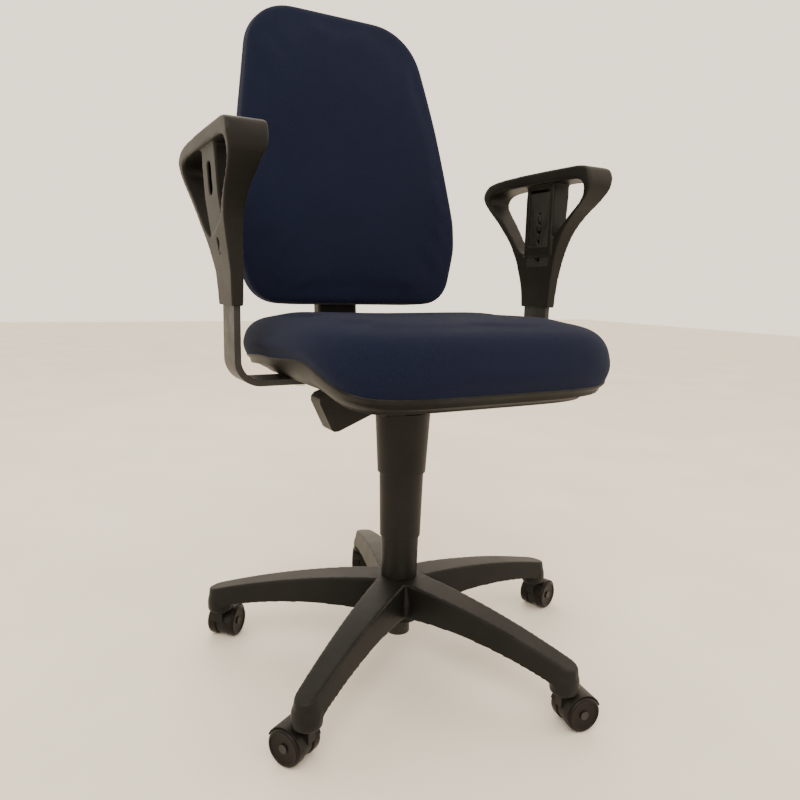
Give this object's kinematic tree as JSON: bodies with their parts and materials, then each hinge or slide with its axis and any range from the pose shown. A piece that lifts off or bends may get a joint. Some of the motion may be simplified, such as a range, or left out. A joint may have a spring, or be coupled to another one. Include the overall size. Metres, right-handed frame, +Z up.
{
  "type": "swivel office chair",
  "caption": "Swivel office chair: castor base, gas lift in telescopic covers, padded seat in a plastic pan, upholstered backrest on a rear bar, loop armrests.",
  "frame": {"origin": "on the floor, on the axis of the gas column", "axes": "+Z up; the chair faces -Y, so the sitter's right is -X"},
  "size_m": [0.6427, 0.6416, 1.05],
  "materials": {
    "plastic_black": "fine moulded grain, satin black",
    "castor_black": "smooth hard nylon, dusty tread",
    "fabric_navy": "plain woven wool blend, navy blue",
    "steel": "drawn steel",
    "steel_black": "black satin paint",
    "plywood": "unfinished birch plywood",
    "bush_grey": "natural acetal"
  },
  "bodies": {
    "base": {"base_star": "plastic_black", "castor_stems": "steel", "column_tube": "steel_black", "column_bush": "bush_grey", "thrust_bearing": "steel", "cover_lower": "plastic_black"},
    "castor_1": {"castor_1_housing": "plastic_black", "castor_1_axle": "steel_black"},
    "castor_1_wheel_a": {"castor_1_wheel_a": "castor_black"},
    "castor_1_wheel_b": {"castor_1_wheel_b": "castor_black"},
    "castor_2": {"castor_2_housing": "plastic_black", "castor_2_axle": "steel_black"},
    "castor_2_wheel_a": {"castor_2_wheel_a": "castor_black"},
    "castor_2_wheel_b": {"castor_2_wheel_b": "castor_black"},
    "castor_3": {"castor_3_housing": "plastic_black", "castor_3_axle": "steel_black"},
    "castor_3_wheel_a": {"castor_3_wheel_a": "castor_black"},
    "castor_3_wheel_b": {"castor_3_wheel_b": "castor_black"},
    "castor_4": {"castor_4_housing": "plastic_black", "castor_4_axle": "steel_black"},
    "castor_4_wheel_a": {"castor_4_wheel_a": "castor_black"},
    "castor_4_wheel_b": {"castor_4_wheel_b": "castor_black"},
    "castor_5": {"castor_5_housing": "plastic_black", "castor_5_axle": "steel_black"},
    "castor_5_wheel_a": {"castor_5_wheel_a": "castor_black"},
    "castor_5_wheel_b": {"castor_5_wheel_b": "castor_black"},
    "cover": {"cover_middle": "plastic_black"},
    "rod": {"piston_rod": "steel", "rod_clip": "steel"},
    "upper": {"gas_cylinder": "steel", "cover_upper": "plastic_black", "mechanism_housing": "plastic_black", "mechanism_bolts": "steel", "pivot_pin": "steel", "seat_pan": "plastic_black", "seat_board": "plywood", "seat_cushion": "fabric_navy", "arm_bracket_right": "steel_black", "arm_bracket_left": "steel_black", "arm_bolts": "steel"},
    "valve": {"valve_pin": "steel"},
    "height_lever": {"height_lever": "plastic_black"},
    "recline_lever": {"recline_lever": "plastic_black"},
    "back_support": {"back_bar": "steel_black", "back_bar_cover": "plastic_black"},
    "backrest": {"back_carriage": "plastic_black", "carriage_screws": "steel", "back_shell": "plastic_black", "back_board": "plywood", "back_cushion": "fabric_navy"},
    "back_knob": {"back_knob": "plastic_black"},
    "armrest_right": {"armrest_right": "plastic_black"},
    "arm_button_right": {"arm_button_right": "plastic_black"},
    "armrest_left": {"armrest_left": "plastic_black"},
    "arm_button_left": {"arm_button_left": "plastic_black"}
  },
  "joints": [
    {"name": "castor_1_swivel", "type": "hinge", "parent": "base", "child": "castor_1", "pos_m": [0.29607, 0.01603, 0.05], "axis": [0, 0, 1], "continuous": true},
    {"name": "castor_1_roll_a", "type": "hinge", "parent": "castor_1", "child": "castor_1_wheel_a", "pos_m": [0.31498, 0.02255, 0.025], "axis": [-0.3256, 0.9455, 0], "continuous": true},
    {"name": "castor_1_roll_b", "type": "hinge", "parent": "castor_1", "child": "castor_1_wheel_b", "pos_m": [0.31498, 0.02255, 0.025], "axis": [-0.3256, 0.9455, 0], "continuous": true},
    {"name": "castor_2_swivel", "type": "hinge", "parent": "base", "child": "castor_2", "pos_m": [0.07624, 0.28653, 0.05], "axis": [0, 0, 1], "continuous": true},
    {"name": "castor_2_roll_a", "type": "hinge", "parent": "castor_2", "child": "castor_2_wheel_a", "pos_m": [0.08624, 0.30385, 0.025], "axis": [-0.866, 0.5, 0], "continuous": true},
    {"name": "castor_2_roll_b", "type": "hinge", "parent": "castor_2", "child": "castor_2_wheel_b", "pos_m": [0.08624, 0.30385, 0.025], "axis": [-0.866, 0.5, 0], "continuous": true},
    {"name": "castor_3_swivel", "type": "hinge", "parent": "base", "child": "castor_3", "pos_m": [-0.24895, 0.16105, 0.05], "axis": [0, 0, 1], "continuous": true},
    {"name": "castor_3_roll_a", "type": "hinge", "parent": "castor_3", "child": "castor_3_wheel_a", "pos_m": [-0.23531, 0.17568, 0.025], "axis": [-0.7314, 0.682, 0], "continuous": true},
    {"name": "castor_3_roll_b", "type": "hinge", "parent": "castor_3", "child": "castor_3_wheel_b", "pos_m": [-0.23531, 0.17568, 0.025], "axis": [-0.7314, 0.682, 0], "continuous": true},
    {"name": "castor_4_swivel", "type": "hinge", "parent": "base", "child": "castor_4", "pos_m": [-0.2301, -0.18699, 0.05], "axis": [0, 0, 1], "continuous": true},
    {"name": "castor_4_roll_a", "type": "hinge", "parent": "castor_4", "child": "castor_4_wheel_a", "pos_m": [-0.2401, -0.16967, 0.025], "axis": [-0.866, -0.5, 0], "continuous": true},
    {"name": "castor_4_roll_b", "type": "hinge", "parent": "castor_4", "child": "castor_4_wheel_b", "pos_m": [-0.2401, -0.16967, 0.025], "axis": [-0.866, -0.5, 0], "continuous": true},
    {"name": "castor_5_swivel", "type": "hinge", "parent": "base", "child": "castor_5", "pos_m": [0.10674, -0.27662, 0.05], "axis": [0, 0, 1], "continuous": true},
    {"name": "castor_5_roll_a", "type": "hinge", "parent": "castor_5", "child": "castor_5_wheel_a", "pos_m": [0.12654, -0.2794, 0.025], "axis": [0.1392, 0.9903, 0], "continuous": true},
    {"name": "castor_5_roll_b", "type": "hinge", "parent": "castor_5", "child": "castor_5_wheel_b", "pos_m": [0.12654, -0.2794, 0.025], "axis": [0.1392, 0.9903, 0], "continuous": true},
    {"name": "seat_swivel", "type": "hinge", "parent": "base", "child": "rod", "pos_m": [0, 0, 0.055], "axis": [0, 0, 1], "continuous": true},
    {"name": "seat_lift", "type": "slide", "parent": "rod", "child": "upper", "axis": [0, 0, 1], "range_m": [-0.11, 0]},
    {"name": "cover_slide", "type": "slide", "parent": "base", "child": "cover", "axis": [0, 0, 1], "range_m": [-0.055, 0]},
    {"name": "height_lever_pull", "type": "hinge", "parent": "upper", "child": "height_lever", "pos_m": [-0.0505, 0, 0.4495], "axis": [0, 1, 0], "range_deg": [0, 6], "stiffness_Nm_per_rad": 1.5, "springref_deg": -5.73},
    {"name": "valve_press", "type": "slide", "parent": "upper", "child": "valve", "axis": [0, 0, -1], "range_m": [0, 0.0057]},
    {"name": "recline_lock", "type": "hinge", "parent": "upper", "child": "recline_lever", "pos_m": [0.05, 0.04, 0.43], "axis": [1, 0, 0], "range_deg": [0, 20]},
    {"name": "backrest_recline", "type": "hinge", "parent": "upper", "child": "back_support", "pos_m": [0, 0.1, 0.428], "axis": [-1, 0, 0], "range_deg": [0, 14]},
    {"name": "backrest_height", "type": "slide", "parent": "back_support", "child": "backrest", "axis": [0, 0.0872, 0.9962], "range_m": [0, 0.06]},
    {"name": "back_knob_turn", "type": "hinge", "parent": "backrest", "child": "back_knob", "pos_m": [0, 0.281, 0.71573], "axis": [0, 0.9962, -0.0872], "range_deg": [0, 180]},
    {"name": "armrest_right_height", "type": "slide", "parent": "upper", "child": "armrest_right", "axis": [0, 0, 1], "range_m": [0, 0.06]},
    {"name": "arm_button_right_press", "type": "slide", "parent": "armrest_right", "child": "arm_button_right", "axis": [1, 0, 0], "range_m": [0, 0.002], "stiffness_N_per_m": 300, "springref_m": -0.003},
    {"name": "armrest_left_height", "type": "slide", "parent": "upper", "child": "armrest_left", "axis": [0, 0, 1], "range_m": [0, 0.06]},
    {"name": "arm_button_left_press", "type": "slide", "parent": "armrest_left", "child": "arm_button_left", "axis": [-1, 0, 0], "range_m": [0, 0.002], "stiffness_N_per_m": 300, "springref_m": -0.003}
  ],
  "couplings": [
    {"joint": "cover_slide", "follows": "seat_lift", "ratio": 0.5},
    {"joint": "valve_press", "follows": "height_lever_pull", "m_per_rad": 0.0535}
  ]
}
